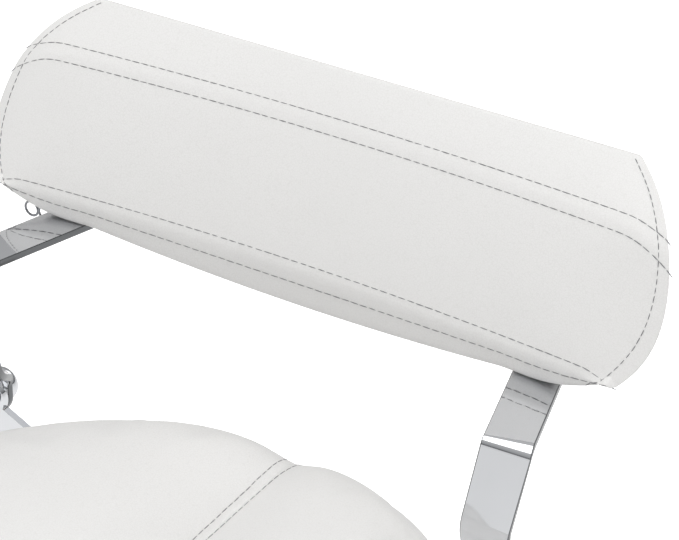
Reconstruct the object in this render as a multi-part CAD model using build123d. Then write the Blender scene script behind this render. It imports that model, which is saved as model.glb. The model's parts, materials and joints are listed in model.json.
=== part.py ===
from build123d import *
from math import cos, radians, sin, tan
import os

# Drafting chair on a five-star base, with a round seat and a low back pad on two flat steel bands.
# Millimetres. Origin on the floor under the column, +Z up, the sitter faces -Y.

running_gap = 0.05  # radial clearance of every shaft that turns or slides
axial_gap = 0.1  # end clearance between turning faces
rest_gap = 0.5  # clear air between parts of different bodies that never touch

# casters
caster_count = 5
wheel_radius = 25.0
wheel_width = 16.0
wheel_spacing = 12.0  # between the inner faces of the two wheels
wheel_edge = 3.0
caster_trail = 18.0
caster_rest_turn = 62.0  # the way the casters were left, from the arm's own direction
fender_gap = 1.2
fender_wall = 2.4
web_width = 11.0
axle_radius = 3.0
stem_radius = 5.5
stem_tip_radius = 3.0
stem_tip_length = 36.0
stem_flange_radius = 9.0
stem_flange_height = 2.0
caster_height = 60.0  # floor to the top of the caster's boss

# star base
base_radius = 300.0  # column axis to caster axis
socket_height = 24.0
socket_radius = 13.0
hub_radius = 33.0
hub_height = 62.0
arm_root_width = 36.0
arm_root_height = 44.0
arm_tip_width = 24.0
arm_tip_height = 20.0
arm_edge = 7.0

# gas column
tube_radius = 25.0
tube_wall = 1.5
tube_length = 398.0
tube_floor = 2.0
bushing_length = 60.0
bushing_flange = 4.0
cylinder_radius = 14.0
cylinder_wall = 2.0
cylinder_length = 355.0
cylinder_cap = 12.0
cylinder_above_flange = 36.0  # cylinder top over the bushing when fully lowered
rod_radius = 5.0
piston_height = 15.0
piston_clearance = 0.05
bearing_radius = 15.0
bearing_height = 8.0
rod_collar_radius = 10.0
rod_collar_height = 4.0
clip_radius = 8.0
clip_height = 1.5
valve_radius = 3.0
valve_length = 14.0
valve_stand = 4.0  # button above the cylinder

# foot ring
ring_radius = 208.0
ring_tube_radius = 9.5
ring_height = 262.0  # ring centre above the floor
spoke_count = 3
spoke_radius = 6.0
collar_radius = 31.0
collar_height = 42.0
knob_radius = 18.0
knob_length = 20.0
knob_lobes = 6
knob_screw_radius = 4.0

# seat mechanism
plate_length = 190.0
plate_width = 150.0
plate_thickness = 3.0
channel_length = 110.0
channel_width = 92.0
channel_depth = 40.0
channel_wall = 2.5
cup_wall = 6.0
cup_depth = 50.0
head_room = 19.0  # cylinder top to the underside of the plate
lever_pivot_x = 22.0
lever_radius = 4.0
lever_drop = 34.0
lever_bend_x = 92.0
lever_reach = 236.0
grip_length = 62.0
grip_width = 26.0
grip_thickness = 11.0
pin_radius = 2.5
screw_radius = 3.0
screw_head_radius = 6.0
screw_head_height = 3.5
screw_bite = 9.0  # depth of each screw in its board

# seat
board_radius = 212.0
board_thickness = 12.0
cushion_radius = 223.0
cushion_height = 92.0
cushion_shoulder = 32.0  # rounding of the upper edge
cushion_hem = 8.0
cushion_crown = 14.0

# back brackets and bands
joint_x = 198.0
joint_y = 161.0
joint_height = 97.0  # joint axis above the top of the seat board
bracket_thickness = 5.0
ear_radius = 15.0
bracket_inner = 36.0  # joint axis to the plate's inner edge
bracket_outer = 22.0
shoulder_drop = 17.0
band_width = 30.0
band_thickness = 5.0
band_turn = 13.0  # the bands close in towards the back
band_stations = 40
bow_x = 187.5
bow_y = 138.0
bow_drop = 56.0  # shelf down to the foremost point of the bow
corner_x = 183.5
corner_y = 151.0
shelf_height = 108.5  # joint axis up to the middle of the band's level run
shelf_end_y = 278.0
bolt_radius = 4.0
bolt_head_radius = 9.5
bolt_head_height = 6.0
washer_radius = 13.5
washer_height = 2.0
nut_radius = 12.0
nut_height = 12.0

# back pad
pad_back_y = 290.0
pad_top_depth = 27.0
pad_bottom_depth = 71.0
pad_belly = 1.0  # foremost edge ahead of the bottom edge
pad_height = 121.0
pad_front_height = 95.0
pad_chin_height = 17.0
pad_half_top = 193.0
pad_half_belly = 235.0
pad_half_bottom = 209.0
pad_edge = 7.0
pad_board_half = 186.0
pad_board_thickness = 12.0
pad_board_inset = 10.0
back_board_height = 70.0
loop_radius = 5.0
loop_wire = 0.8
loop_x = 205.0

# heights that follow from the sizes above
arm_bottom = caster_height + stem_flange_height
arm_top = arm_bottom + socket_height
hub_bottom = arm_bottom + 8.0
hub_top = hub_bottom + hub_height
tube_bottom = hub_bottom
tube_top = tube_bottom + tube_length
flange_top = tube_top + bushing_flange
cylinder_top = flange_top + cylinder_above_flange
cylinder_bottom = cylinder_top - cylinder_length
plate_bottom = cylinder_top + head_room
board_bottom = plate_bottom + plate_thickness
board_top = board_bottom + board_thickness
joint_z = board_top + joint_height
shelf_z = joint_z + shelf_height
pad_bottom = shelf_z + band_thickness / 2
bearing_bottom = tube_bottom + tube_floor
rod_top = cylinder_top - 105.0
lever_z = cylinder_top + valve_stand + lever_radius + 0.1


def drum(radius, height, x=0.0, y=0.0, z=0.0):
    """An upright cylinder standing at z."""
    return Pos(x, y, z) * Cylinder(radius, height, align=(Align.CENTER, Align.CENTER, Align.MIN))


def tunnel(radius, length, x=0.0, y=0.0, z=0.0):
    """A cylinder along +Y that starts at y."""
    return Pos(x, y, z) * Rot(-90, 0, 0) * Cylinder(radius, length, align=(Align.CENTER, Align.CENTER, Align.MIN))


def mirrored(shape):
    return mirror(shape, about=Plane.YZ)


def caster_place(index):
    """Where a caster stands, with its trail turned the way it was left."""
    arm_angle = 90.0 + index * 360.0 / caster_count
    return Rot(0, 0, arm_angle) * Pos(base_radius, 0, 0) * Rot(0, 0, caster_rest_turn)


def caster_stem():
    """Grip stem that stays in the arm while the caster turns on its thin tip."""
    tip = drum(stem_tip_radius, stem_tip_length + stem_flange_height, z=caster_height - stem_tip_length)
    flange = drum(stem_flange_radius, stem_flange_height - axial_gap, z=caster_height + axial_gap)
    return tip + flange + drum(stem_radius, socket_height - 2.0, z=arm_bottom)


def caster_hood():
    """Web between the wheels, fender over them and the boss that turns on the stem."""
    fender_inner = wheel_radius + fender_gap
    fender_outer = fender_inner + fender_wall
    fender_width = wheel_spacing + 2 * wheel_width
    axle_x = -caster_trail
    rim = tunnel(fender_outer, fender_width, axle_x, -fender_width / 2, wheel_radius)
    rim -= tunnel(fender_inner, fender_width, axle_x, -fender_width / 2, wheel_radius)
    rim -= Pos(axle_x, 0, 0) * Box(4 * fender_outer, 2 * fender_width, 2 * (wheel_radius - 1.0))
    web = tunnel(fender_outer - 0.5, web_width, axle_x, -web_width / 2, wheel_radius)
    web -= Pos(axle_x, 0, 0) * Box(4 * fender_outer, 2 * web_width, 2 * 7.0)
    neck = Pos(0, 0, 14.0) * Box(web_width, web_width, caster_height - 14.0, align=(Align.CENTER, Align.CENTER, Align.MIN))
    cap_bottom = wheel_radius + fender_inner + 0.5
    boss = drum(stem_flange_radius + 1.5, caster_height - cap_bottom, z=cap_bottom)
    bridge_size = caster_trail + stem_flange_radius
    bridge = Pos(-bridge_size / 2, 0, cap_bottom) * Box(
        bridge_size, web_width + 4.0, fender_wall, align=(Align.CENTER, Align.CENTER, Align.MIN)
    )
    hood = rim + web + neck + boss + bridge
    hood -= tunnel(axle_radius + running_gap, fender_width, axle_x, -fender_width / 2, wheel_radius)
    bore_depth = stem_tip_length + axial_gap
    return hood - drum(stem_tip_radius + running_gap, bore_depth + 1.0, z=caster_height - bore_depth)


def caster_wheel_pair():
    """Two wheels pressed on one axle, each with a dished outer face."""
    bore_depth = wheel_width - 3.0
    profile = Pos(wheel_radius / 2, wheel_width / 2) * Rectangle(wheel_radius, wheel_width)
    profile = fillet(profile.vertices().group_by(Axis.X)[-1], wheel_edge)
    profile -= Pos(wheel_radius * 0.6, wheel_width) * Rectangle(wheel_radius * 0.45, 4.0)
    profile -= Pos(0, bore_depth / 2) * Rectangle(2 * axle_radius, bore_depth)
    wheel = revolve(profile, Axis.Y)
    outer = Pos(-caster_trail, wheel_spacing / 2, wheel_radius) * wheel
    return Compound(children=[outer, mirror(outer, about=Plane.XZ)])


def caster_axle():
    length = wheel_spacing + 2 * (wheel_width - 3.0)
    return tunnel(axle_radius, length, -caster_trail, -length / 2, wheel_radius)


def star_base():
    """Hub, tapering arms and a stem socket at the end of each arm."""
    base = drum(hub_radius, hub_height, z=hub_bottom)
    base = fillet(base.edges().group_by(Axis.Z)[-1], 4.0)
    root_z = hub_top - arm_root_height / 2 - 6.0
    root = Plane(origin=(hub_radius - 12.0, 0, root_z), z_dir=(1, 0, 0), x_dir=(0, 1, 0))
    tip = Plane(origin=(base_radius, 0, arm_top - arm_tip_height / 2), z_dir=(1, 0, 0), x_dir=(0, 1, 0))
    arm_root = root * RectangleRounded(arm_root_width, arm_root_height, arm_edge)
    arm_tip = tip * RectangleRounded(arm_tip_width, arm_tip_height, arm_edge)
    arm = loft([arm_root, arm_tip])
    socket = drum(socket_radius, socket_height, x=base_radius, z=arm_bottom)
    socket = fillet(socket.edges().group_by(Axis.Z)[-1], 3.0)
    bore = drum(stem_radius, socket_height - 2.0, x=base_radius, z=arm_bottom)
    for index in range(caster_count):
        turn = Rot(0, 0, 90.0 + index * 360.0 / caster_count)
        base += turn * (arm + socket)
    for index in range(caster_count):
        turn = Rot(0, 0, 90.0 + index * 360.0 / caster_count)
        base -= turn * bore
    return base - drum(tube_radius, hub_height + 20.0, z=hub_bottom - 10.0)


def column_tube():
    """Outer tube of the column with a floor that the rod hangs in."""
    tube = drum(tube_radius, tube_length, z=tube_bottom)
    tube -= drum(tube_radius - tube_wall, tube_length, z=tube_bottom + tube_floor)
    return tube - drum(rod_radius + running_gap, 10.0, z=tube_bottom - 4.0)


def tube_bushing():
    """Plastic guide in the mouth of the tube."""
    sleeve = drum(tube_radius - tube_wall, bushing_length, z=tube_top - bushing_length)
    collar = drum(tube_radius, bushing_flange, z=tube_top)
    return sleeve + collar - drum(cylinder_radius + running_gap, 2 * bushing_length, z=tube_top - 1.5 * bushing_length)


def thrust_bearing():
    ring = drum(bearing_radius, bearing_height, z=bearing_bottom)
    return ring - drum(rod_radius + running_gap, 2 * bearing_height, z=bearing_bottom - bearing_height / 2)


def piston_rod():
    """Rod, its collar on the bearing and the piston inside the gas cylinder."""
    start = tube_bottom - axial_gap - clip_height
    rod = drum(rod_radius, rod_top - start, z=start)
    collar = drum(rod_collar_radius, rod_collar_height, z=bearing_bottom + bearing_height + axial_gap)
    piston_radius = cylinder_radius - cylinder_wall - piston_clearance
    return rod + collar + drum(piston_radius, piston_height, z=rod_top - piston_height)


def rod_clip():
    """Spring clip under the tube that keeps the rod in."""
    clip = drum(clip_radius, clip_height, z=tube_bottom - axial_gap - clip_height)
    return clip - drum(rod_radius, 4 * clip_height, z=tube_bottom - 3 * clip_height)


def gas_cylinder():
    """Pressure cylinder that slides and turns in the bushing."""
    body = drum(cylinder_radius, cylinder_length, z=cylinder_bottom)
    inside = cylinder_length - 2 * cylinder_cap
    body -= drum(cylinder_radius - cylinder_wall, inside, z=cylinder_bottom + cylinder_cap)
    body -= drum(rod_radius + running_gap, 2 * cylinder_cap, z=cylinder_bottom - 1.0)
    return body - drum(valve_radius + running_gap, 2 * cylinder_cap, z=cylinder_top - cylinder_cap - 1.0)


def valve_button():
    return drum(valve_radius, valve_length, z=cylinder_top + valve_stand - valve_length)


def foot_ring():
    return Pos(0, 0, ring_height) * Torus(ring_radius, ring_tube_radius)


def spoke_angle(index):
    return 90.0 + index * 360.0 / spoke_count


def ring_collar():
    """Sleeve that slides on the tube, with a thread for the clamp screw."""
    bottom = ring_height - collar_height / 2
    collar = drum(collar_radius, collar_height, z=bottom)
    collar = fillet(collar.edges(), 2.0)
    collar -= drum(tube_radius + running_gap, 2 * collar_height, z=bottom - collar_height / 2)
    return collar - tunnel(knob_screw_radius + running_gap, collar_radius, y=-collar_radius - 1.0, z=ring_height)


def ring_spokes():
    """Rods from the collar to the ring, cut to sit on both."""
    spoke = Pos(0, 0, ring_height) * Rot(0, 90, 0) * Cylinder(
        spoke_radius, ring_radius, align=(Align.CENTER, Align.CENTER, Align.MIN)
    )
    spoke -= drum(collar_radius, 2 * collar_height, z=ring_height - collar_height)
    spoke -= foot_ring()
    return Compound(children=[Rot(0, 0, spoke_angle(index)) * spoke for index in range(spoke_count)])


def clamp_knob():
    """Lobed hand knob on the screw that clamps the collar."""
    start = -collar_radius - rest_gap - knob_length
    knob = tunnel(knob_radius, knob_length, y=start, z=ring_height)
    lobe_radius = knob_radius * 0.34
    for index in range(knob_lobes):
        notch = tunnel(lobe_radius, 2 * knob_length, x=knob_radius + lobe_radius * 0.55, y=start - 1.0)
        knob -= Pos(0, 0, ring_height) * Rot(0, index * 360.0 / knob_lobes, 0) * notch
    screw_end = -tube_radius - running_gap - axial_gap
    screw = tunnel(knob_screw_radius, screw_end - start - 2.0, y=start + 2.0, z=ring_height)
    return knob + screw


def plate_screw_places():
    x = plate_length / 2 - 11.0
    y = plate_width / 2 - 11.0
    return [(x, y), (x, -y), (-x, y), (-x, -y)]


def seat_mechanism():
    """Pressed plate with a channel under it and the cup that takes the cylinder."""
    plate = Pos(0, 0, plate_bottom) * Box(
        plate_length, plate_width, plate_thickness, align=(Align.CENTER, Align.CENTER, Align.MIN)
    )
    plate = fillet(plate.edges().filter_by(Axis.Z), 14.0)
    channel_bottom = plate_bottom - channel_depth
    low = (Align.CENTER, Align.CENTER, Align.MIN)
    channel = Pos(0, 0, channel_bottom) * Box(channel_length, channel_width, channel_depth, align=low)
    channel = fillet(channel.edges().filter_by(Axis.Z), 8.0)
    hollow_length = channel_length - 2 * channel_wall
    hollow_width = channel_width - 2 * channel_wall
    hollow = Pos(0, 0, channel_bottom) * Box(hollow_length, hollow_width, channel_depth, align=low)
    channel -= fillet(hollow.edges().filter_by(Axis.Z), 8.0 - channel_wall)
    cup_bottom = plate_bottom - cup_depth
    cup_height = cylinder_top - cup_bottom - 4.0
    cup = drum(cylinder_radius + cup_wall, cup_height, z=cup_bottom)
    rib_z = channel_bottom + 4.0
    rib_height = cup_bottom + cup_height - rib_z
    rib = Pos(0, 0, rib_z) * Box(5.0, channel_width - channel_wall, rib_height, align=low)
    body = plate + channel + cup + rib
    body -= drum(cylinder_radius, cylinder_top - cup_bottom + 10.0, z=cup_bottom - 5.0)
    slot_height = plate_bottom - lever_z + 2 * lever_radius
    slot = Pos(channel_length / 2, 0, plate_bottom - slot_height) * Box(
        6 * channel_wall, 2 * lever_radius + 5.0, slot_height, align=low
    )
    body -= slot
    body -= tunnel(pin_radius, channel_width, x=lever_pivot_x, y=-channel_width / 2, z=lever_z)
    for x, y in plate_screw_places():
        body -= drum(screw_radius, 4 * plate_thickness, x, y, plate_bottom - plate_thickness)
    return body


def lever_pin():
    return tunnel(pin_radius, channel_width, x=lever_pivot_x, y=-channel_width / 2, z=lever_z)


def lever_path():
    outer_z = lever_z - lever_drop
    return FilletPolyline(
        (-3.0, 0, lever_z),
        (channel_length / 2 - 2.0, 0, lever_z),
        (lever_bend_x, 0, outer_z),
        (lever_reach, 0, outer_z),
        radius=14.0,
    )


def height_lever():
    """Bent rod that pushes the valve button down when its grip is lifted."""
    path = lever_path()
    rod = sweep(Plane(origin=path @ 0, z_dir=path % 0) * Circle(lever_radius), path=path)
    sleeve = tunnel(pin_radius + 2.5, 16.0, x=lever_pivot_x, y=-8.0, z=lever_z)
    return rod + sleeve - tunnel(pin_radius + running_gap, 40.0, x=lever_pivot_x, y=-20.0, z=lever_z)


def lever_grip():
    """Flat paddle pressed on the end of the rod."""
    middle = lever_reach - grip_length / 2 + 4.0
    grip = Pos(middle, 0, lever_z - lever_drop) * Box(grip_length, grip_width, grip_thickness)
    grip = fillet(grip.edges().filter_by(Axis.Z), 10.0)
    grip = fillet(grip.edges().group_by(Axis.Z)[-1] + grip.edges().group_by(Axis.Z)[0], 3.5)
    path = lever_path()
    return grip - sweep(Plane(origin=path @ 0, z_dir=path % 0) * Circle(lever_radius), path=path)


def bracket_screw_places():
    return [(joint_x - 44.0, joint_y - 40.0), (joint_x - 76.0, joint_y - 12.0)]


def seat_board():
    board = drum(board_radius, board_thickness, z=board_bottom)
    places = plate_screw_places()
    places += bracket_screw_places()
    places += [(-x, y) for x, y in bracket_screw_places()]
    for x, y in places:
        board -= drum(screw_radius, screw_bite, x, y, board_bottom)
    return board


def seat_cushion():
    """Round cushion on the board, with a shallow crown and soft edges."""
    top = board_top + cushion_height
    outline = [
        (0, board_top),
        (cushion_radius - cushion_hem, board_top),
        (cushion_radius, board_top + cushion_hem),
        (cushion_radius, top - cushion_crown - cushion_shoulder),
        (cushion_radius - cushion_shoulder, top - cushion_crown),
        (cushion_radius / 2, top - cushion_crown / 4),
        (0, top),
    ]
    profile = make_face(Polyline(*outline, close=True))
    return revolve(Plane.XZ * profile, Axis.Z)


def bracket():
    """Right-hand plate that rises outside the cushion, with a foot screwed under the board."""
    inner = joint_x - bracket_inner
    outer = joint_x + bracket_outer
    shoulder_z = joint_z - shoulder_drop
    foot_bottom = board_bottom - bracket_thickness
    face = Plane(origin=(0, joint_y - bracket_thickness, 0), x_dir=(1, 0, 0), z_dir=(0, -1, 0))
    outline = Polyline(
        (joint_x - ear_radius * 0.9, joint_z - 6.0),
        (inner, shoulder_z),
        (inner + 4.0, foot_bottom),
        (outer - 4.0, foot_bottom),
        (outer, shoulder_z - 8.0),
        (joint_x + ear_radius * 0.9, joint_z - 6.0),
        close=True,
    )
    plate = extrude(face * make_face(outline), amount=-bracket_thickness)
    plate += tunnel(ear_radius, bracket_thickness, joint_x, joint_y - bracket_thickness, joint_z)
    foot = Polyline(
        (inner + 4.0, joint_y),
        (outer - 4.0, joint_y),
        (outer - 4.0, joint_y - 12.0),
        (joint_x - 18.0, joint_y - 66.0),
        (joint_x - 52.0, joint_y - 66.0),
        (joint_x - 92.0, joint_y - 26.0),
        (joint_x - 92.0, joint_y),
        close=True,
    )
    plate += extrude(Pos(0, 0, foot_bottom) * make_face(foot), amount=bracket_thickness)
    plate -= tunnel(bolt_radius, 4 * bracket_thickness, joint_x, joint_y - 2 * bracket_thickness, joint_z)
    for x, y in bracket_screw_places():
        plate -= drum(screw_radius, 3 * bracket_thickness, x, y, foot_bottom - bracket_thickness)
    return plate


def pad_screw_places():
    """Points along the level run of the right-hand band, under the pad."""
    run = Vector(shelf_end_x() - corner_x, shelf_end_y - corner_y).normalized()
    end = Vector(shelf_end_x(), shelf_end_y)
    return [end - run * 12.0, end - run * 38.0]


def shelf_end_x():
    return corner_x - (shelf_end_y - corner_y) * tan(radians(band_turn))


def band():
    """Right-hand flat band: round ear, forward bow, tight corner and a level run under the pad."""
    middle_y = joint_y + band_thickness / 2
    path = FilletPolyline(
        (joint_x, middle_y, joint_z),
        (joint_x - 0.8, middle_y, joint_z + 15.0),
        (bow_x, bow_y, shelf_z - bow_drop),
        (corner_x, corner_y, shelf_z),
        (shelf_end_x(), shelf_end_y, shelf_z),
        radius=[16.0, 40.0, 16.0],
    )
    sections = []
    for station in range(band_stations + 1):
        along = station / band_stations
        turn = radians(band_turn) * min(1.0, 2.5 * along)
        across = (cos(turn), sin(turn), 0)
        frame = Plane(origin=path @ along, x_dir=across, z_dir=path % along)
        sections.append(frame * Rectangle(band_width, band_thickness))
    strip = loft(sections, ruled=True)
    strip += tunnel(ear_radius, band_thickness, joint_x, joint_y, joint_z)
    strip -= tunnel(bolt_radius, 4 * band_thickness, joint_x, joint_y - 2 * band_thickness, joint_z)
    for place in pad_screw_places():
        strip -= drum(screw_radius, 3 * band_thickness, place.X, place.Y, shelf_z - 1.5 * band_thickness)
    return strip


def pivot_bolt():
    """Flat-headed bolt through the ears."""
    head = tunnel(bolt_head_radius, bolt_head_height, joint_x, joint_y - bracket_thickness - bolt_head_height, joint_z)
    head = fillet(head.edges().group_by(Axis.Y)[0], 2.5)
    grip = bracket_thickness + band_thickness + washer_height + nut_height / 2
    return head + tunnel(bolt_radius, grip, joint_x, joint_y - bracket_thickness, joint_z)


def joint_washer():
    washer = tunnel(washer_radius, washer_height, joint_x, joint_y + band_thickness, joint_z)
    return washer - tunnel(bolt_radius, 4 * washer_height, joint_x, joint_y + band_thickness - washer_height, joint_z)


def cap_nut():
    """Domed nut behind the band."""
    start = joint_y + band_thickness + washer_height
    nut = tunnel(nut_radius, nut_height, joint_x, start, joint_z)
    nut = fillet(nut.edges().group_by(Axis.Y)[-1], nut_height * 0.62)
    return nut - tunnel(bolt_radius, nut_height, joint_x, start - nut_height / 2, joint_z)


def base_board_blank():
    depth = pad_bottom_depth - 2 * pad_board_inset
    middle = pad_back_y - pad_bottom_depth / 2
    return Pos(0, middle, pad_bottom) * Box(
        2 * pad_board_half, depth, pad_board_thickness, align=(Align.CENTER, Align.CENTER, Align.MIN)
    )


def pad_base_board():
    """Board in the bottom of the pad that the bands are screwed to."""
    board = base_board_blank()
    for place in pad_screw_places():
        for side in (1, -1):
            board -= drum(screw_radius, screw_bite, side * place.X, place.Y, pad_bottom)
    return board


def pad_back_board():
    """Upright board that stiffens the back of the pad."""
    back = pad_back_y - pad_board_inset
    return Pos(0, back - pad_board_thickness / 2, pad_bottom + pad_board_thickness) * Box(
        2 * pad_board_half, pad_board_thickness, back_board_height, align=(Align.CENTER, Align.CENTER, Align.MIN)
    )


def back_pad():
    """Bolster with a leaning front, a short chin under it and bulging ends."""
    front_y = pad_back_y - pad_bottom_depth - pad_belly
    section = make_face(
        Polyline(
            (pad_back_y - pad_bottom_depth, pad_bottom),
            (front_y, pad_bottom + pad_chin_height),
            (pad_back_y - pad_top_depth, pad_bottom + pad_front_height),
            (pad_back_y, pad_bottom + pad_height),
            (pad_back_y, pad_bottom),
            close=True,
        )
    )
    section = fillet(section.vertices(), pad_edge)
    pad = extrude(Plane.YZ * section, amount=pad_half_belly, both=True)
    ends = make_face(
        Polyline(
            (pad_half_bottom, pad_bottom - 1.0),
            (pad_half_belly, pad_bottom + 0.75 * pad_front_height),
            (pad_half_top, pad_bottom + pad_height + 1.0),
            (-pad_half_top, pad_bottom + pad_height + 1.0),
            (-pad_half_belly, pad_bottom + 0.75 * pad_front_height),
            (-pad_half_bottom, pad_bottom - 1.0),
            close=True,
        )
    )
    ends = fillet(ends.vertices(), 12.0)
    pad &= extrude(Plane.XZ * ends, amount=2 * pad_back_y, both=True)
    return pad - base_board_blank() - pad_back_board()


def wood_screw(x, y, seat_z):
    """Round-headed screw that points up, with its head under seat_z."""
    head = drum(screw_head_radius, screw_head_height, x, y, seat_z - screw_head_height)
    return fillet(head.edges().group_by(Axis.Z)[0], 1.5)


def screws_up(places, seat_z, through):
    screws = []
    for x, y in places:
        shank = drum(screw_radius, through + screw_bite, x, y, seat_z)
        screws.append(wood_screw(x, y, seat_z) + shank)
    return Compound(children=screws)


def both_sides(places):
    return places + [(-x, y) for x, y in places]


def zip_loops():
    """Two wire pulls under the left end of the pad."""
    height = pad_bottom - loop_radius - loop_wire
    front = pad_back_y - pad_bottom_depth + 4.0
    loop = Rot(90, 0, 0) * Torus(loop_radius, loop_wire)
    return Compound(children=[Pos(-loop_x + step, front, height) * loop for step in (0, 2.2 * loop_radius)])


def caster_nodes():
    nodes = {}
    for index in range(caster_count):
        place = caster_place(index)
        number = index + 1
        nodes[f"caster_stem_{number}"] = place * caster_stem()
        nodes[f"caster_hood_{number}"] = place * caster_hood()
        nodes[f"caster_axle_{number}"] = place * caster_axle()
        nodes[f"caster_wheels_{number}"] = place * caster_wheel_pair()
    return nodes


def chair_nodes():
    pad_places = [(place.X, place.Y) for place in pad_screw_places()]
    nodes = {
        "star_base": star_base(),
        "column_tube": column_tube(),
        "tube_bushing": tube_bushing(),
        "thrust_bearing": thrust_bearing(),
        "piston_rod": piston_rod(),
        "rod_clip": rod_clip(),
        "gas_cylinder": gas_cylinder(),
        "valve_button": valve_button(),
        "foot_ring": foot_ring(),
        "ring_spokes": ring_spokes(),
        "ring_collar": ring_collar(),
        "clamp_knob": clamp_knob(),
        "seat_mechanism": seat_mechanism(),
        "lever_pin": lever_pin(),
        "height_lever": height_lever(),
        "lever_grip": lever_grip(),
        "seat_board": seat_board(),
        "seat_cushion": seat_cushion(),
        "bracket_right": bracket(),
        "bracket_left": mirrored(bracket()),
        "band_right": band(),
        "band_left": mirrored(band()),
        "pivot_bolts": Compound(children=[pivot_bolt(), mirrored(pivot_bolt())]),
        "joint_washers": Compound(children=[joint_washer(), mirrored(joint_washer())]),
        "cap_nuts": Compound(children=[cap_nut(), mirrored(cap_nut())]),
        "back_pad": back_pad(),
        "pad_base_board": pad_base_board(),
        "pad_back_board": pad_back_board(),
        "plate_screws": screws_up(plate_screw_places(), plate_bottom, plate_thickness),
        "bracket_screws": screws_up(
            both_sides(bracket_screw_places()), board_bottom - bracket_thickness, bracket_thickness
        ),
        "pad_screws": screws_up(both_sides(pad_places), pad_bottom - band_thickness, band_thickness),
        "zip_loops": zip_loops(),
    }
    nodes.update(caster_nodes())
    return nodes


os.makedirs("parts", exist_ok=True)
for name, shape in chair_nodes().items():
    export_step(shape, f"parts/{name}.step")
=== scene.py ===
import bpy
import bmesh
import json
import math
import numpy as np
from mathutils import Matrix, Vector, noise
from mathutils.bvhtree import BVHTree
from mathutils.kdtree import KDTree


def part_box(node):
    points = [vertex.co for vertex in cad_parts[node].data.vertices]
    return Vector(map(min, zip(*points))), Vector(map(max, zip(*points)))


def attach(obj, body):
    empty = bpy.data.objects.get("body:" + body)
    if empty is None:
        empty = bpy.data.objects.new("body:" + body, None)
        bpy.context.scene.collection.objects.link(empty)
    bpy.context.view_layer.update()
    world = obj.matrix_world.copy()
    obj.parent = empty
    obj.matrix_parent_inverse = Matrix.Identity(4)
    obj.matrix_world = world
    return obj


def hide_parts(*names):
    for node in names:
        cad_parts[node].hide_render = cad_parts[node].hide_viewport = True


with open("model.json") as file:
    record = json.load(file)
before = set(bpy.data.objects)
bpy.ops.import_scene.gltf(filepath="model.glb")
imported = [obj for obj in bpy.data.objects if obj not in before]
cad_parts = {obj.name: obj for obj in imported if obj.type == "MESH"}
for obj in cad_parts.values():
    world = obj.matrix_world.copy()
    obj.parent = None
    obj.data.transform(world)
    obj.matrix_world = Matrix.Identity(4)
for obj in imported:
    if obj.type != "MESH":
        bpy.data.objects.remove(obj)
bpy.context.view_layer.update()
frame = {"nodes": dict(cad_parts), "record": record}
nodes = frame["nodes"]
print("stage: frame loaded,", len(nodes), "nodes")


def linkObject(name, mesh):
    piece = bpy.data.objects.new(name, mesh)
    bpy.context.scene.collection.objects.link(piece)
    return piece


def meshPiece(name, points, faces, material, smooth=True):
    mesh = bpy.data.meshes.new(name)
    mesh.from_pydata([tuple(p) for p in points], [], faces)
    mesh.validate()
    work = bmesh.new()
    work.from_mesh(mesh)
    bmesh.ops.recalc_face_normals(work, faces=work.faces)
    work.to_mesh(mesh)
    work.free()
    mesh.materials.append(material)
    for face in mesh.polygons:
        face.use_smooth = smooth
    return linkObject(name, mesh)


# The piece with its modifiers worked out, as a plain mesh on a plain object.
def finalMesh(piece):
    graph = bpy.context.evaluated_depsgraph_get()
    mesh = bpy.data.meshes.new_from_object(piece.evaluated_get(graph))
    name = piece.name
    bpy.data.objects.remove(piece)
    mesh.name = name
    return linkObject(name, mesh)


def vertexArray(mesh):
    spots = np.empty(len(mesh.vertices) * 3)
    mesh.vertices.foreach_get("co", spots)
    return spots.reshape(-1, 3)


def storeVertices(mesh, spots):
    mesh.vertices.foreach_set("co", spots.ravel())
    mesh.update()


# Short words for laying out a material's nodes.
class NodeDesk:

    def __init__(self, name):
        self.material = bpy.data.materials.new(name)
        self.material.use_nodes = True
        self.tree = self.material.node_tree
        self.shader = self.tree.nodes["Principled BSDF"]

    def add(self, kind, links=(), **settings):
        node = self.tree.nodes.new(kind)
        for key, value in settings.items():
            setattr(node, key, value)
        for socket, source in links:
            if hasattr(source, "links"):
                self.tree.links.new(source, node.inputs[socket])
            else:
                node.inputs[socket].default_value = source
        return node

    def set(self, **values):
        for key, value in values.items():
            self.shader.inputs[key.replace("_", " ")].default_value = value

    def join(self, source, socket):
        self.tree.links.new(source, self.shader.inputs[socket])

    def place(self, scale=(1, 1, 1), turn=(0, 0, 0)):
        spot = self.add("ShaderNodeTexCoord").outputs["Object"]
        return self.add("ShaderNodeMapping", [("Vector", spot), ("Scale", scale), ("Rotation", turn)]).outputs[0]

    def noise(self, vector, scale, detail=3.0, rough=0.55):
        links = [("Vector", vector), ("Scale", scale), ("Detail", detail), ("Roughness", rough)]
        return self.add("ShaderNodeTexNoise", links).outputs["Fac"]

    def ramp(self, source, low, high, start=0.3, end=0.7):
        node = self.add("ShaderNodeValToRGB", [("Fac", source)])
        node.color_ramp.elements[0].position = start
        node.color_ramp.elements[1].position = end
        node.color_ramp.elements[0].color = low if len(low) == 4 else (*low, 1)
        node.color_ramp.elements[1].color = high if len(high) == 4 else (*high, 1)
        return node.outputs[0]

    def spread(self, source, low, high):
        links = [("Value", source), ("From Min", 0.25), ("From Max", 0.75), ("To Min", low), ("To Max", high)]
        return self.add("ShaderNodeMapRange", links).outputs[0]

    def bump(self, height, distance, strength=1.0, under=None):
        links = [("Height", height), ("Distance", distance), ("Strength", strength)]
        if under is not None:
            links.append(("Normal", under))
        return self.add("ShaderNodeBump", links).outputs[0]


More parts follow.
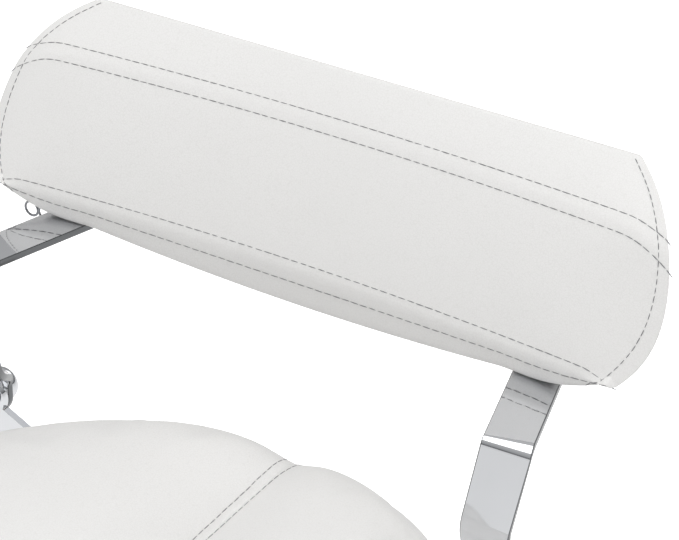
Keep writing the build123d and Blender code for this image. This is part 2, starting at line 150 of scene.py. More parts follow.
metalGrain = {
    "cloudScale": 9.0, "cloudDetail": 4.0, "cloudRamp": (0.25, 0.65),
    "rubDetail": 2.0, "rubRough": 0.7, "rubBump": 0.5,
}
plasticGrain = {
    "cloudScale": 14.0, "cloudRamp": (0.4, 0.8), "bloom": 1.7, "bloomBase": 0.012,
    "sheenScale": 60.0, "pebbleBump": 0.6,
}


# Plated or polished metal with cloudy polish, hair-fine rub marks and faint finger bloom.
def polishedMetal(name, tint, wear):
    desk = NodeDesk(name)
    desk.set(Metallic=1.0)
    cloud = desk.noise(desk.place(), metalGrain["cloudScale"], metalGrain["cloudDetail"])
    darker = tuple(c * wear["shade"] for c in tint)
    desk.join(desk.ramp(cloud, darker, tint, *metalGrain["cloudRamp"]), "Base Color")
    stretched = desk.place(scale=(1, 1, wear["stretch"]))
    rub = desk.noise(stretched, wear["rubScale"], metalGrain["rubDetail"], metalGrain["rubRough"])
    both = desk.add("ShaderNodeMath", [(0, cloud), (1, rub)], operation="MULTIPLY").outputs[0]
    desk.join(desk.spread(both, wear["smooth"], wear["dull"]), "Roughness")
    desk.join(desk.bump(rub, wear["depth"], metalGrain["rubBump"]), "Normal")
    return desk.material


# Spark-textured moulding: pebble bump, dusty lighter bloom and an uneven sheen.
def mouldedPlastic(name, tint, look):
    desk = NodeDesk(name)
    cloud = desk.noise(desk.place(), plasticGrain["cloudScale"])
    lighter = tuple(min(1.0, c * plasticGrain["bloom"] + plasticGrain["bloomBase"]) for c in tint)
    desk.join(desk.ramp(cloud, tint, lighter, *plasticGrain["cloudRamp"]), "Base Color")
    pebble = desk.add("ShaderNodeTexVoronoi", [("Vector", desk.place()), ("Scale", look["pebbleScale"])])
    sheen = desk.noise(desk.place(), plasticGrain["sheenScale"])
    desk.join(desk.spread(sheen, look["smooth"], look["dull"]), "Roughness")
    desk.join(desk.bump(pebble.outputs["Distance"], look["depth"], plasticGrain["pebbleBump"]), "Normal")
    return desk.material


# Coated leather: fine cell grain over soft pull marks, pores that take a little dust, satin coat.
def whiteLeather(name, look):
    desk = NodeDesk(name)
    spot = desk.place()
    drift = desk.noise(spot, look["driftScale"])
    links = [("Vector", spot), ("Scale", look["warpScale"]), ("Detail", 2.0)]
    warp = desk.add("ShaderNodeTexNoise", links).outputs["Color"]
    swirl = desk.add("ShaderNodeMixRGB", [("Fac", look["warp"]), ("Color1", spot), ("Color2", warp)]).outputs[0]
    links = [("Vector", swirl), ("Scale", look["grainScale"])]
    cells = desk.add("ShaderNodeTexVoronoi", links, feature="DISTANCE_TO_EDGE").outputs["Distance"]
    grain = desk.add("ShaderNodeMapRange", [("Value", cells), ("From Max", look["poreWidth"])]).outputs[0]
    base = desk.ramp(drift, look["shade"], look["tint"])
    pores = desk.add("ShaderNodeMixRGB", [("Fac", grain), ("Color1", look["pore"]), ("Color2", base)]).outputs[0]
    desk.join(pores, "Base Color")
    desk.join(desk.spread(desk.noise(spot, look["sheenScale"]), look["smooth"], look["dull"]), "Roughness")
    pulled = desk.noise(desk.place(scale=look["pullStretch"]), look["pullScale"], 2.0)
    pull = desk.bump(pulled, look["pullDepth"], look["pullBump"])
    desk.join(desk.bump(grain, look["grainDepth"], look["grainBump"], pull), "Normal")
    desk.set(Coat_Weight=look["coat"], Coat_Roughness=look["coatRough"])
    return desk.material


# Dull sewing thread with the lines of its twist.
def twistedThread(name, look):
    desk = NodeDesk(name)
    links = [("Vector", desk.place(turn=look["twistTurn"])), ("Scale", look["twistScale"])]
    twist = desk.add("ShaderNodeTexWave", links).outputs["Fac"]
    lighter = tuple(min(1.0, c * look["highlight"]) for c in look["tint"])
    desk.join(desk.ramp(twist, look["tint"], lighter), "Base Color")
    desk.join(desk.bump(twist, look["depth"]), "Normal")
    desk.set(Roughness=look["rough"], Sheen_Weight=look["sheen"])
    return desk.material


# Face veneer with long figure, and the plies' lines on the cut edge from their height.
def plywoodSheet(name, look):
    desk = NodeDesk(name)
    stretched = desk.place(scale=look["figureStretch"])
    figure = desk.noise(stretched, look["figureScale"], look["figureDetail"], look["figureRough"])
    links = [("Vector", desk.place()), ("Scale", look["plyScale"]), ("Distortion", look["plyDistortion"])]
    plies = desk.add("ShaderNodeTexWave", links, bands_direction="Z").outputs["Color"]
    both = desk.add("ShaderNodeMixRGB", [("Fac", look["plyShare"]), ("Color1", figure), ("Color2", plies)]).outputs[0]
    desk.join(desk.ramp(both, look["dark"], look["light"], *look["ramp"]), "Base Color")
    desk.join(desk.bump(figure, look["depth"]), "Normal")
    desk.set(Roughness=look["rough"])
    return desk.material


chromeWear = {"shade": 0.93, "stretch": 1.0, "rubScale": 160.0, "smooth": 0.035, "dull": 0.085, "depth": 0.000004}
castWear = {"shade": 0.9, "stretch": 1.0, "rubScale": 90.0, "smooth": 0.07, "dull": 0.17, "depth": 0.00001}
brushWear = {"shade": 0.85, "stretch": 14.0, "rubScale": 220.0, "smooth": 0.22, "dull": 0.4, "depth": 0.00002}
darkWear = {"shade": 0.75, "stretch": 1.0, "rubScale": 120.0, "smooth": 0.25, "dull": 0.45, "depth": 0.00002}
leatherLook = {
    "tint": (0.775, 0.768, 0.757), "shade": (0.752, 0.745, 0.734), "pore": (0.72, 0.712, 0.698, 1),
    "driftScale": 5.0, "warpScale": 240.0, "warp": 0.004, "poreWidth": 0.12,
    "grainScale": 620.0, "grainDepth": 0.00005, "grainBump": 0.45,
    "pullScale": 26.0, "pullStretch": (1, 1, 1.6), "pullDepth": 0.0004, "pullBump": 0.5,
    "sheenScale": 35.0, "smooth": 0.42, "dull": 0.56, "coat": 0.12, "coatRough": 0.35,
}
powderLook = {"pebbleScale": 900.0, "depth": 0.0001, "smooth": 0.32, "dull": 0.5}
gripLook = {"pebbleScale": 1300.0, "depth": 0.00012, "smooth": 0.42, "dull": 0.62}
nylonLook = {"pebbleScale": 700.0, "depth": 0.00008, "smooth": 0.34, "dull": 0.55}
threadLook = {
    "tint": (0.17, 0.17, 0.175), "highlight": 1.5, "twistScale": 900.0, "twistTurn": (0.6, 0.3, 0.8),
    "depth": 0.00008, "rough": 0.6, "sheen": 0.3,
}
veneerLook = {
    "light": (0.60, 0.44, 0.28), "dark": (0.40, 0.27, 0.15), "figureStretch": (14, 1.2, 30), "figureScale": 6.0,
    "figureDetail": 6.0, "figureRough": 0.65, "plyScale": 170.0, "plyDistortion": 0.6, "plyShare": 0.35,
    "ramp": (0.25, 0.75), "depth": 0.0003, "rough": 0.62,
}

finishes = {
    "polished_chrome": polishedMetal("polishedChrome", (0.705, 0.714, 0.732), chromeWear),
    "polished_aluminium": polishedMetal("polishedCasting", (0.76, 0.77, 0.78), castWear),
    "satin_steel": polishedMetal("satinSteel", (0.58, 0.59, 0.61), brushWear),
    "dark_steel": polishedMetal("darkSteel", (0.30, 0.31, 0.33), darkWear),
    "black_steel": mouldedPlastic("powderCoat", (0.018, 0.018, 0.02), powderLook),
    "black_plastic": mouldedPlastic("mouldedGrip", (0.024, 0.024, 0.026), gripLook),
    "caster_tread": mouldedPlastic("casterNylon", (0.03, 0.03, 0.033), nylonLook),
    "white_leather": whiteLeather("whiteLeather", leatherLook),
    "plywood": plywoodSheet("plywoodSheet", veneerLook),
}
# Dark chrome for the back bands' narrow sides and bevels: a painted dark reflection that stands in for the dark lines
# along the bands' edges.
paintedDarkEdgeFinish = polishedMetal("paintedDarkEdgeReflection", (0.16, 0.165, 0.17), {**chromeWear, "smooth": 0.15, "dull": 0.28})
threadFinish = twistedThread("greyThread", threadLook)

for row in frame["record"]["subparts"]:
    piece = nodes[row["node"]]
    finish = finishes[row["material_slot"]]
    if piece.material_slots:
        piece.material_slots[0].material = finish
    else:
        piece.data.materials.append(finish)
print("stage: finishes laid on the frame's own parts")

cameraSetup = {
    "target": (-0.0263, 0.3135, 0.710), "azimuth": 32.75, "elevation": 31.0,
    "distance": 1.7888, "lens": 146.5, "sensor": 36.0, "reach": 60.0,
}
camera = bpy.data.objects.new("camera", bpy.data.cameras.new("camera"))
bpy.context.scene.collection.objects.link(camera)
turn = math.radians(cameraSetup["azimuth"])
rise = math.radians(cameraSetup["elevation"])
outward = Vector((math.sin(turn) * math.cos(rise), -math.cos(turn) * math.cos(rise), math.sin(rise)))
camera.location = Vector(cameraSetup["target"]) + outward * cameraSetup["distance"]
camera.rotation_euler = (math.pi / 2 - rise, 0, turn)
camera.data.lens = cameraSetup["lens"]
camera.data.sensor_width = cameraSetup["sensor"]
camera.data.clip_end = cameraSetup["reach"]
bpy.context.scene.camera = camera
bpy.context.scene.view_settings.view_transform = "Standard"

studio = {
    "floorSize": 40.0, "floorTint": (0.80, 0.80, 0.80), "floorPatch": (0.83, 0.83, 0.83), "patchScale": 2.0,
    "floorRough": 0.8, "floorGlow": 0.40, "floorSheen": 0.27, "paper": (0.98, 0.98, 0.98),
    "skyLow": (0.22, 0.225, 0.23), "skyMiddle": (0.66, 0.67, 0.68), "skyTop": (1.0, 1.0, 1.0),
    "middleAt": 0.25, "topAt": 0.75, "skyPower": 0.60,
    "lights": [  # name, place, aim, size, watts
        ("overhead", (0.3, -0.2, 3.2), (0, 0.1, 0.5), 2.6, 42.0),
        ("leftWindow", (-2.6, -1.4, 2.0), (0, 0.1, 0.6), 1.8, 16.5),
        ("rightFill", (2.8, -1.2, 1.6), (0, 0.1, 0.6), 1.6, 9.5),
        ("backWash", (0.4, 2.8, 2.4), (0, 0.1, 0.5), 2.0, 14.0),
    ],
}


def makeStudio():
    half = studio["floorSize"] / 2
    desk = NodeDesk("paleFloor")
    patches = desk.noise(desk.place(), studio["patchScale"])
    desk.join(desk.ramp(patches, studio["floorTint"], studio["floorPatch"]), "Base Color")
    seen = desk.add("ShaderNodeLightPath").outputs["Is Camera Ray"]
    links = [(0, seen), (1, studio["floorGlow"]), (2, studio["floorSheen"])]
    desk.join(desk.add("ShaderNodeMath", links, operation="MULTIPLY_ADD").outputs[0], "Emission Strength")
    desk.set(Roughness=studio["floorRough"], Emission_Color=(1, 1, 1, 1))
    corners = [(-half, -half, 0), (half, -half, 0), (half, half, 0), (-half, half, 0)]
    floor = meshPiece("floor", corners, [(0, 1, 2, 3)], desk.material)
    world = bpy.data.worlds.new("studio")
    bpy.context.scene.world = world
    world.use_nodes = True
    tree = world.node_tree
    spot = tree.nodes.new("ShaderNodeTexCoord").outputs["Generated"]
    split = tree.nodes.new("ShaderNodeSeparateXYZ")
    ramp = tree.nodes.new("ShaderNodeValToRGB")
    tree.links.new(spot, split.inputs[0])
    tree.links.new(split.outputs["Z"], ramp.inputs[0])
    stops = ramp.color_ramp.elements
    stops[0].color = (*studio["skyLow"], 1)
    stops[1].position = studio["topAt"]
    stops[1].color = (*studio["skyTop"], 1)
    stops.new(studio["middleAt"]).color = (*studio["skyMiddle"], 1)
    glow = tree.nodes["Background"]
    tree.links.new(ramp.outputs[0], glow.inputs["Color"])
    glow.inputs["Strength"].default_value = studio["skyPower"]
    paper = tree.nodes.new("ShaderNodeBackground")  # plain pale paper behind the chair
    paper.inputs["Color"].default_value = (*studio["paper"], 1)
    seen = tree.nodes.new("ShaderNodeLightPath")
    mix = tree.nodes.new("ShaderNodeMixShader")
    tree.links.new(seen.outputs["Is Camera Ray"], mix.inputs[0])
    tree.links.new(glow.outputs[0], mix.inputs[1])
    tree.links.new(paper.outputs[0], mix.inputs[2])
    tree.links.new(mix.outputs[0], tree.nodes["World Output"].inputs["Surface"])
    for name, place, aim, size, watts in studio["lights"]:
        lamp = bpy.data.lights.new(name, "AREA")
        lamp.size = size
        lamp.energy = watts
        holder = bpy.data.objects.new(name, lamp)
        bpy.context.scene.collection.objects.link(holder)
        holder.location = place
        holder.rotation_euler = (Vector(aim) - Vector(place)).to_track_quat("-Z", "Y").to_euler()


makeStudio()
print("stage: camera, floor and light")

stitching = {
    "pitch": 0.0064, "length": 0.0057, "endPitch": 0.0050, "endLength": 0.0041, "thread": 0.00030, "lift": 0.0001,
    "segments": 8, "rings": 6, "shortest": 0.9, "longest": 1.1, "seed": 11,
}


# Curve in, one thread stitch at every pitch along it out.
def stitchTree():
    tree = bpy.data.node_groups.new("stitchRow", "GeometryNodeTree")
    sockets = {}
    kinds = {
        "Path": "Geometry", "Pitch": "Float", "Length": "Float", "Thread": "Float",
        "Thread Material": "Material",
    }
    for label, kind in kinds.items():
        sockets[label] = tree.interface.new_socket(label, in_out="INPUT", socket_type="NodeSocket" + kind).identifier
    tree.interface.new_socket("Stitches", in_out="OUTPUT", socket_type="NodeSocketGeometry")
    add = tree.nodes.new
    join = tree.links.new
    given = add("NodeGroupInput").outputs
    curve = add("GeometryNodeMeshToCurve")
    join(given["Path"], curve.inputs["Mesh"])
    spots = add("GeometryNodeCurveToPoints")
    spots.mode = "LENGTH"
    join(curve.outputs["Curve"], spots.inputs["Curve"])
    join(given["Pitch"], spots.inputs["Length"])
    bead = add("GeometryNodeMeshUVSphere")
    bead.inputs["Segments"].default_value = stitching["segments"]
    bead.inputs["Rings"].default_value = stitching["rings"]
    bead.inputs["Radius"].default_value = 1.0
    half = add("ShaderNodeMath")
    half.operation = "MULTIPLY"
    half.inputs[1].default_value = 0.5
    join(given["Length"], half.inputs[0])
    size = add("ShaderNodeCombineXYZ")
    join(given["Thread"], size.inputs["X"])
    join(given["Thread"], size.inputs["Y"])
    join(half.outputs[0], size.inputs["Z"])
    vary = add("FunctionNodeRandomValue")
    vary.data_type = "FLOAT"
    vary.inputs["Min"].default_value = stitching["shortest"]
    vary.inputs["Max"].default_value = stitching["longest"]
    vary.inputs["Seed"].default_value = stitching["seed"]
    scaled = add("ShaderNodeVectorMath")
    scaled.operation = "SCALE"
    join(size.outputs[0], scaled.inputs[0])
    join(vary.outputs[1], scaled.inputs["Scale"])
    sewn = add("GeometryNodeInstanceOnPoints")
    join(spots.outputs["Points"], sewn.inputs["Points"])
    join(bead.outputs["Mesh"], sewn.inputs["Instance"])
    join(spots.outputs["Rotation"], sewn.inputs["Rotation"])
    join(scaled.outputs[0], sewn.inputs["Scale"])
    real = add("GeometryNodeRealizeInstances")
    join(sewn.outputs[0], real.inputs[0])
    soft = add("GeometryNodeSetShadeSmooth")
    join(real.outputs[0], soft.inputs[0])
    dyed = add("GeometryNodeSetMaterial")
    join(soft.outputs[0], dyed.inputs["Geometry"])
    join(given["Thread Material"], dyed.inputs["Material"])
    join(dyed.outputs[0], add("NodeGroupOutput").inputs[0])
    return tree, sockets


stitchRow, stitchSockets = stitchTree()


# The piece's faces, ready for finding the nearest spot on them.
def meshSurface(piece):
    mesh = piece.data
    return BVHTree.FromPolygons([v.co for v in mesh.vertices], [p.vertices for p in mesh.polygons])


# The path laid on the leather, a hair proud of it.
def lieOn(surface, path):
    laid = []
    for spot in path:
        place, normal = surface.find_nearest(Vector(spot))[:2]
        laid.append(place + normal * stitching["lift"])
    return laid


# One piece of thread for all the rows in paths, each a list of points on the leather.
def sew(name, paths, pitch, length, body):
    points = []
    edges = []
    for path in paths:
        first = len(points)
        points += [tuple(p) for p in path]
        edges += [(i, i + 1) for i in range(first, len(points) - 1)]
    mesh = bpy.data.meshes.new(name)
    mesh.from_pydata(points, edges, [])
    piece = linkObject(name, mesh)
    rows = piece.modifiers.new("rows", "NODES")
    rows.node_group = stitchRow
    rows[stitchSockets["Pitch"]] = pitch
    rows[stitchSockets["Length"]] = length
    rows[stitchSockets["Thread"]] = stitching["thread"]
    rows[stitchSockets["Thread Material"]] = threadFinish
    piece = finalMesh(piece)
    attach(piece, body)


padding = {
    "frames": 20, "pressure": 4.0, "quality": 6, "mass": 0.3, "padCap": 0.0055, "seatCap": 0.009,
    "gather": 0.45, "crease": 0.55, "wander": 3, "wanderScale": 30,
}
# how deep each seam pulls the leather in, how far beside it, and the length of one gather
puckers = {
    "padRows": (0.00045, 0.0030, 0.0132), "padCreases": (0.0003, 0.0015, 0.021),
    "seatSeam": (0.0009, 0.0026, 0.024), "seatBand": (0.0006, 0.0024, 0.017),
}


# Blows the cover up like filled leather, with the seams in held staying where they are.
def puffUp(piece, held, cap):
    group = piece.vertex_groups.new(name="held")
    for index, weight in held.items():
        group.add([index], weight, "REPLACE")
    before = vertexArray(piece.data).copy()
    cloth = piece.modifiers.new("puff", "CLOTH")
    cloth.settings.quality = padding["quality"]
    cloth.settings.mass = padding["mass"]
    cloth.settings.use_pressure = True
    cloth.settings.uniform_pressure_force = padding["pressure"]
    cloth.settings.effector_weights.gravity = 0
    cloth.settings.vertex_group_mass = "held"
    cloth.point_cache.frame_start = 1
    cloth.point_cache.frame_end = padding["frames"]
    for step in range(1, padding["frames"] + 1):
        bpy.context.scene.frame_set(step)
    graph = bpy.context.evaluated_depsgraph_get()
    puffed = bpy.data.meshes.new_from_object(piece.evaluated_get(graph))
    moved = vertexArray(puffed) - before
    reach = np.linalg.norm(moved, axis=1, keepdims=True)
    moved *= cap * np.tanh(reach / cap) / np.maximum(reach, 1e-9)
    piece.modifiers.remove(cloth)
    storeVertices(piece.data, before + moved)
    bpy.data.meshes.remove(puffed)
    bpy.context.scene.frame_set(1)
    print("stage:", piece.name, "puffed, most", round(float(reach.max()) * 1000, 1), "mm before the cap")


# Small gathers in the leather beside each seam, and a crease under the thread.
def pucker(piece, seams, depth, reachOut, pitch):
    tree = KDTree(sum(len(s) for s in seams))
    along = []
    for seam in seams:
        walked = 0.0
        for i, spot in enumerate(seam):
            if i:
                walked += (Vector(spot) - Vector(seam[i - 1])).length
            tree.insert(Vector(spot), len(along))
            along.append(walked)
    tree.balance()
    spots = vertexArray(piece.data)
    for vertex in piece.data.vertices:
        near, index, gap = tree.find(vertex.co)
        if gap > 3 * reachOut:
            continue
        wander = padding["wander"] * noise.noise(vertex.co * padding["wanderScale"])
        wave = math.sin(2 * math.pi * along[index] / pitch + wander)
        drop = depth * math.exp(-gap / reachOut) * (padding["gather"] * wave - padding["crease"])
        spots[vertex.index] += np.array(vertex.normal) * drop
    storeVertices(piece.data, spots)


def smoothLevels(piece, levels):
    finish = piece.modifiers.new("rounding", "SUBSURF")
    finish.levels = levels
    finish.render_levels = levels
    return finalMesh(piece)


backPad = {
    # corner: (behind the box's back, above its floor, half length,
    #          half length midway to the next corner, bow forward)
    "hemFront": (-0.0710, 0.0005, 0.2140, 0.2100, 0.227),
    "hemBack": (0.0000, 0.0030, 0.2050, 0.2060, 0.0),
    "topBack": (0.0030, 0.1210, 0.1925, 0.2165, 0.0),
    "ridge": (-0.0240, 0.0937, 0.2345, 0.2395, 0.227),
    "belly": (-0.0710, 0.0165, 0.2215, 0.2180, 0.227),
    "strips": {"hemFront": 8, "hemBack": 14, "topBack": 8, "ridge": 18, "belly": 5},
    "stations": 104, "stitchStep": 0.0054, "endCrease": 0.0014, "endStitch": 0.0075,
    "endRings": (0.985, 0.93, 0.82, 0.66, 0.46, 0.24), "endBulge": 0.006, "meanHalf": 0.22, "endGap": 0.03,
    "droop": 0.012, "droopFrom": 0.200, "droopOver": 0.033, "fullBow": 0.227,
    "hemSag": {"hemFront": 0.0100, "hemBack": 0.005}, "sagHalf": 0.150,
    "hemLift": 0.010, "liftFrom": 0.165, "liftOver": 0.042,
    "fill": 0.8,
}
padCorners = ["hemFront", "hemBack", "topBack", "ridge", "belly"]


# A point of the unfilled cover: side from -1 to 1 along it, share across the panel that follows a corner.
def padPoint(side, number, share):
    corner = padCorners[number]
    following = padCorners[(number + 1) % len(padCorners)]
    here = backPad[corner]
    there = backPad[following]
    y = here[0] + (there[0] - here[0]) * share
    z = here[1] + (there[1] - here[1]) * share
    half = here[2] * (1 - share) + there[2] * share + 4 * share * (1 - share) * (here[3] - (here[2] + there[2]) / 2)
    bow = here[4] + (there[4] - here[4]) * share
    x = side * half
    sag = max(0.0, 1 - (x / backPad["sagHalf"]) ** 2)
    lift = max(0.0, (abs(x) - backPad["liftFrom"]) / backPad["liftOver"]) ** 2 * backPad["hemLift"]
    for hem, weight in ((corner, 1 - share), (following, share)):
        if hem in backPad["hemSag"]:
            z -= sag * backPad["hemSag"][hem] * weight
            z += lift * weight if hem == "hemFront" else 0.0
    if bow > 0 and corner in ("topBack", "ridge"):
        drop = max(0.0, (abs(x) - backPad["droopFrom"]) / backPad["droopOver"]) ** 2
        z -= backPad["droop"] * drop * bow / backPad["fullBow"]
    return x, y - bow * x * x, z


def makeBackPad():
    low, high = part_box("back_pad")
    rings = []  # (corner number, share of the panel)
    seamRow = {}
    for number, corner in enumerate(padCorners):
        here = np.array(backPad[corner][:2])
        there = np.array(backPad[padCorners[(number + 1) % len(padCorners)]][:2])
        length = float(np.linalg.norm(there - here))
        near = backPad["stitchStep"] / length
        seamRow[corner] = len(rings)
        rings += [(number, share) for share in [0.0, *np.linspace(near, 1 - near, backPad["strips"][corner])]]
    count = len(rings)
    points = []
    ends = [1 - step / backPad["meanHalf"] for step in (backPad["endCrease"], backPad["endStitch"])]
    stations = [s for s in np.linspace(-1, 1, backPad["stations"]) if abs(s) < ends[1] - backPad["endGap"]]
    stations = sorted(stations + [-1, 1] + ends + [-e for e in ends])
    for side in stations:
        for number, share in rings:
            x, y, z = padPoint(side, number, share)
            points.append((x, high[1] + y, low[2] + z))
    faces = []
    for row in range(len(stations) - 1):
        for i in range(count):
            j = (i + 1) % count
            faces.append((row * count + i, row * count + j, (row + 1) * count + j, (row + 1) * count + i))
    for end, side in ((0, -1), (len(stations) - 1, 1)):
        rim = [np.array(points[end * count + i]) for i in range(count)]
        centre = sum(rim) / count
        last = [end * count + i for i in range(count)]
        for scale in backPad["endRings"]:
            ring = []
            for spot in rim:
                placed = centre + (spot - centre) * scale
                placed[0] += side * backPad["endBulge"] * (1 - scale**2)
                ring.append(len(points))
                points.append(tuple(placed))
            for i in range(count):
                j = (i + 1) % count
                faces.append((last[i], last[j], ring[j], ring[i]))
            last = ring
        tip = len(points)
        points.append(tuple(centre + np.array((side * backPad["endBulge"], 0, 0))))
        for i in range(count):
            faces.append((last[i], last[(i + 1) % count], tip))
    piece = meshPiece("backPadCover", points, faces, finishes["white_leather"])
    held = {}
    for row in range(len(stations)):
        for corner in padCorners:
            for offset in (-1, 0, 1):
                held[row * count + (seamRow[corner] + offset) % count] = 1.0
        for i in range(seamRow["hemFront"], seamRow["hemBack"] + 1):
            held[row * count + i] = 1.0
    for end in (0, 1, 2, len(stations) - 3, len(stations) - 2, len(stations) - 1):
        for i in range(count):
            held[end * count + i] = 1.0
    puffUp(piece, held, padding["padCap"])

    def rowPath(corner, offset):
        i = (seamRow[corner] + offset) % count
        return [piece.data.vertices[row * count + i].co.copy() for row in range(len(stations))]

    def endPath(row):
        first = seamRow["topBack"]
        last = count + seamRow["hemFront"]
        return [piece.data.vertices[row * count + i % count].co.copy() for i in range(first + 1, last)]

    rows = [rowPath("ridge", -1), rowPath("ridge", 1), rowPath("belly", -1), rowPath("belly", 1)]
    endRows = [endPath(2), endPath(len(stations) - 3)]
    creases = [rowPath("ridge", 0), rowPath("belly", 0)]
    piece = smoothLevels(piece, 1)
    pucker(piece, rows + endRows, *puckers["padRows"])
    pucker(piece, creases, *puckers["padCreases"])
    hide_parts("back_pad")
    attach(piece, "seat")
    surface = meshSurface(piece)
    laidRows = [lieOn(surface, path) for path in rows]
    laidEnds = [lieOn(surface, path) for path in endRows]
    sew("backPadStitches", laidRows, stitching["pitch"], stitching["length"], "seat")
    sew("backPadEndStitches", laidEnds, stitching["endPitch"], stitching["endLength"], "seat")


makeBackPad()
print("stage: back pad sewn")

seatTop = {
    "cells": 84, "rise": 0.007, "spread": 0.007, "crown": 0.004, "shoulder": 0.030, "shoulderFrom": 0.88,
    "lobe": 0.006, "lobeWidth": 0.034, "lobeCurve": 1.3, "lobeFall": 0.5, "pull": 0.004, "pullWidth": 0.05,
    "valley": 0.004, "valleyDeep": 0.014, "valleyWidth": 0.020, "creaseAt": 0.0014, "stitchOut": 0.0055,
    "nextCell": 0.022, "rimStep": 0.004, "seamDrop": 0.034, "seamNear": 0.0014, "seamFar": 0.0056, "bandRow": 0.005,
    "midRise": 0.003, "boardGap": 0.0003, "holeGap": 0.0004, "underGap": 0.0005,
    # how the leather turns in under the cushion: (share of the radius, above the cushion's or the board's underside)
    "turnIn": ((0.999, 0.004), (0.992, -0.002)), "hem": ((0.978, 0.002), (0.968, 0.0003)),
    "fill": 0.75,
}


def makeSeat():
    low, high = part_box("seat_cushion")
    boardLow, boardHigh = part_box("seat_board")
    radius = high[0] + seatTop["spread"]
    top = high[2] + seatTop["rise"]
    cells = seatTop["cells"]
    near = [0.0, seatTop["creaseAt"] / radius, seatTop["stitchOut"] / radius]
    across = near + list(np.linspace(near[-1] + seatTop["nextCell"], 1, cells // 2 - 2))
    across = [-a for a in reversed(across[1:])] + across
    wide = len(across)
    points = []

    def height(x, y):
        r = min(1.0, math.hypot(x, y) / radius)
        over = max(0.0, (r - seatTop["shoulderFrom"]) / (1 - seatTop["shoulderFrom"]))
        side = min(1.0, abs(x) / radius)
        fade = 1 - over**2
        z = top - seatTop["crown"] * r * r
        z -= seatTop["shoulder"] * (1 - math.sqrt(max(0.0, 1 - over * over)))
        swell = 1 - math.exp(-((abs(x) / seatTop["lobeWidth"]) ** seatTop["lobeCurve"]))
        z += seatTop["lobe"] * (swell - seatTop["lobeFall"] * side**2) * fade
        deep = seatTop["valley"] + seatTop["valleyDeep"] * (1 - r * r)
        z -= deep * math.exp(-((x / seatTop["valleyWidth"]) ** 2))
        return z - seatTop["pull"] * math.exp(-((x / seatTop["pullWidth"]) ** 2)) * r**3 * fade

    for v in np.linspace(-1, 1, wide):
        for u in across:
            x = radius * u * math.sqrt(1 - v * v / 2)
            y = radius * v * math.sqrt(1 - u * u / 2)
            points.append((x, y, height(x, y)))
    faces = [
        (r * wide + c, r * wide + c + 1, (r + 1) * wide + c + 1, (r + 1) * wide + c)
        for r in range(wide - 1) for c in range(wide - 1)
    ]
    rim = list(range(wide)) + [r * wide + wide - 1 for r in range(1, wide)]
    rim += [(wide - 1) * wide + c for c in range(wide - 2, -1, -1)] + [r * wide for r in range(wide - 2, 0, -1)]
    rimZ = min(points[i][2] for i in rim)
    seamZ = rimZ - seatTop["seamDrop"]
    drops = [(1.0, z) for z in np.linspace(rimZ - seatTop["rimStep"], seamZ + seatTop["seamNear"], 3)]
    drops += [(1.0, seamZ), (1.0, seamZ - seatTop["seamNear"]), (1.0, seamZ - seatTop["seamFar"])]
    drops.append((1.0, (seamZ + low[2]) / 2 + seatTop["midRise"]))
    wrap = boardLow[2]
    drops += [(share, low[2] + above) for share, above in seatTop["turnIn"]]
    drops += [(share, wrap + above) for share, above in seatTop["hem"]]
    inner = (boardHigh[0] + seatTop["holeGap"]) / radius
    drops += [(inner, wrap + seatTop["boardGap"]), (inner, low[2] + seatTop["underGap"])]
    last = rim
    held = {}
    seamLoop = []
    for scale, z in drops:
        loop = []
        for i in rim:
            x, y, _ = points[i]
            loop.append(len(points))
            points.append((x * scale, y * scale, z))
        for i in range(len(rim)):
            j = (i + 1) % len(rim)
            faces.append((last[i], last[j], loop[j], loop[i]))
        if z <= seamZ:
            for i in loop:
                held[i] = 1.0
        if z == seamZ:
            seamLoop = loop
        last = loop
    under = {}  # flat underside, on the same grid as the top
    for place, i in enumerate(rim):
        under[i] = last[place]
    for i in range(wide * wide):
        if i not in under:
            under[i] = len(points)
            points.append((points[i][0] * inner, points[i][1] * inner, low[2] + seatTop["underGap"]))
        held[under[i]] = 1.0
    for r in range(wide - 1):
        for c in range(wide - 1):
            i = r * wide + c
            faces.append((under[i], under[i + wide], under[i + wide + 1], under[i + 1]))
    for index, spot in enumerate(points):
        if abs(spot[0]) < 1e-6:
            held[index] = 1.0
    piece = meshPiece("seatCover", points, faces, finishes["white_leather"])
    puffUp(piece, held, padding["seatCap"])
    seam = [piece.data.vertices[r * wide + wide // 2].co.copy() for r in range(wide)]
    band = [piece.data.vertices[i].co.copy() for i in seamLoop]
    band.append(band[0])
    piece = smoothLevels(piece, 1)
    pucker(piece, [seam], *puckers["seatSeam"])
    pucker(piece, [band], *puckers["seatBand"])
    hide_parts("seat_cushion")
    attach(piece, "seat")
    surface = meshSurface(piece)
    rows = []
    for side in (-1, 1):
        offset = Vector((side * seatTop["stitchOut"], 0, 0))
        rows.append(lieOn(surface, [p + offset for p in seam]))
    rows.append(lieOn(surface, [p - Vector((0, 0, seatTop["bandRow"])) for p in band]))
    sew("seatStitches", rows, stitching["pitch"], stitching["length"], "seat")


makeSeat()
print("stage: seat sewn")

backBand = {
    "width": 0.030, "thickness": 0.005, "edge": 0.0006, "steps": 26, "turn": 18.0, "turnFrom": 0.03,
    "ear": 0.015, "earPlace": (0.198, 0.1635), "earLean": 0.0008, "earRim": 0.0004,
    "bow": (0.1825, 0.1355), "bowDrop": 0.070, "corner": (0.1905, 0.151), "end": (0.1541, 0.278),
    "bends": ((1, 0.012), (2, 0.032), (3, 0.0045)), "shelfSteps": (0.25, 0.5, 0.75, 1.0),
}


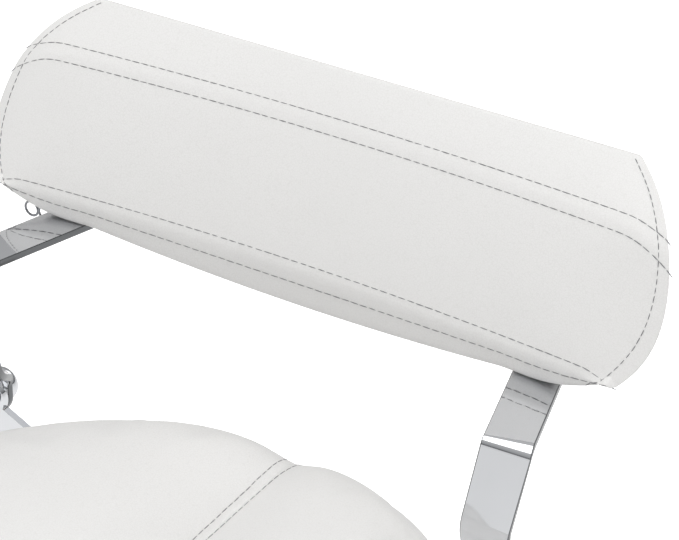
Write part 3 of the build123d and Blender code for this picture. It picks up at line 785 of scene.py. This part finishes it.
# Points of an arc that takes the place of a corner.
def roundedCorner(before, corner, after, radius, steps):
    a = (before - corner).normalized()
    b = (after - corner).normalized()
    half = a.angle(b) / 2
    reach = radius / math.tan(half)
    centre = corner + (a + b).normalized() * (radius / math.sin(half))
    start = corner + a * reach - centre
    end = corner + b * reach - centre
    sweep = start.angle(end)
    arc = []
    for step in range(steps + 1):
        t = step / steps
        arc.append(centre + (start * math.sin((1 - t) * sweep) + end * math.sin(t * sweep)) / math.sin(sweep))
    return arc


# The band's middle line, from the ear's lower end to the shelf's end.
def bandPath(jointZ, shelfZ):
    ear = backBand["ear"]
    earX, middleY = backBand["earPlace"]
    marks = [
        Vector((earX, middleY, jointZ)), Vector((earX - backBand["earLean"], middleY, jointZ + ear)),
        Vector((*backBand["bow"], shelfZ - backBand["bowDrop"])),
        Vector((*backBand["corner"], shelfZ)), Vector((*backBand["end"], shelfZ)),
    ]
    path = [Vector((earX, middleY, jointZ - ear * math.cos(math.radians(a)))) for a in range(0, 91, 10)]
    for number, radius in backBand["bends"]:
        path += roundedCorner(marks[number - 1], marks[number], marks[number + 1], radius, backBand["steps"])
    shelf = path[-1]
    path += [shelf.lerp(marks[-1], t) for t in backBand["shelfSteps"]]
    return path


# A flat bar with fine bevels, swept along the path, its upper end turning with the pad.
def makeBand(name, node, side):
    low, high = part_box(node)
    jointZ = low[2] + backBand["ear"]
    shelfZ = high[2] - backBand["thickness"] / 2
    path = bandPath(jointZ, shelfZ)
    lengths = [0.0]
    for i in range(1, len(path)):
        lengths.append(lengths[-1] + (path[i] - path[i - 1]).length)
    corner = next(i for i, p in enumerate(path) if p.z > shelfZ - 0.0001)
    points = []
    half = backBand["width"] / 2
    thick = backBand["thickness"] / 2
    edge = backBand["edge"]
    start = backBand["turnFrom"]
    for i, spot in enumerate(path):
        forward = (path[min(i + 1, len(path) - 1)] - path[max(i - 1, 0)]).normalized()
        t = min(1.0, max(0.0, (lengths[i] - start) / (lengths[corner] - start)))
        angle = math.radians(backBand["turn"]) * t * t * (3 - 2 * t)
        wide = Vector((math.cos(angle), math.sin(angle), 0))
        wide = (wide - forward * wide.dot(forward)).normalized()
        flat = wide.cross(forward).normalized()
        down = jointZ - spot.z
        reach = half
        if down > 0:
            reach = math.sqrt(max(0.0, half**2 - down**2)) * 0.999 + backBand["earRim"]
        inner = max(reach - edge, reach * 0.5)
        quarter = ((inner, thick), (reach, thick - edge), (reach, edge - thick), (inner, -thick))
        outline = quarter + tuple((-a, -b) for a, b in quarter)
        for a, b in outline:
            placed = spot + wide * a + flat * b
            points.append((side * placed.x, placed.y, placed.z))
    faces = []
    ring = len(outline)
    for row in range(len(path) - 1):
        for i in range(ring):
            j = (i + 1) % ring
            faces.append((row * ring + i, row * ring + j, (row + 1) * ring + j, (row + 1) * ring + i))
    faces.append(tuple(range(ring)))
    faces.append(tuple(range(len(points) - ring, len(points))))
    piece = meshPiece(name, points, faces, finishes["polished_chrome"])
    piece.data.materials.append(paintedDarkEdgeFinish)
    for face in piece.data.polygons[: ring * (len(path) - 1)]:
        face.material_index = 0 if face.index % ring in (3, 7) else 1  # the two broad sides stay bright; the narrow sides and bevels get the dark finish, a painted dark reflection
    weighted = piece.modifiers.new("flats", "WEIGHTED_NORMAL")
    weighted.keep_sharp = True
    weighted.weight = 100
    piece = finalMesh(piece)
    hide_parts(node)
    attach(piece, "seat")


makeBand("rightBackBand", "band_right", 1)
makeBand("leftBackBand", "band_left", -1)
print("stage: back bands bent")
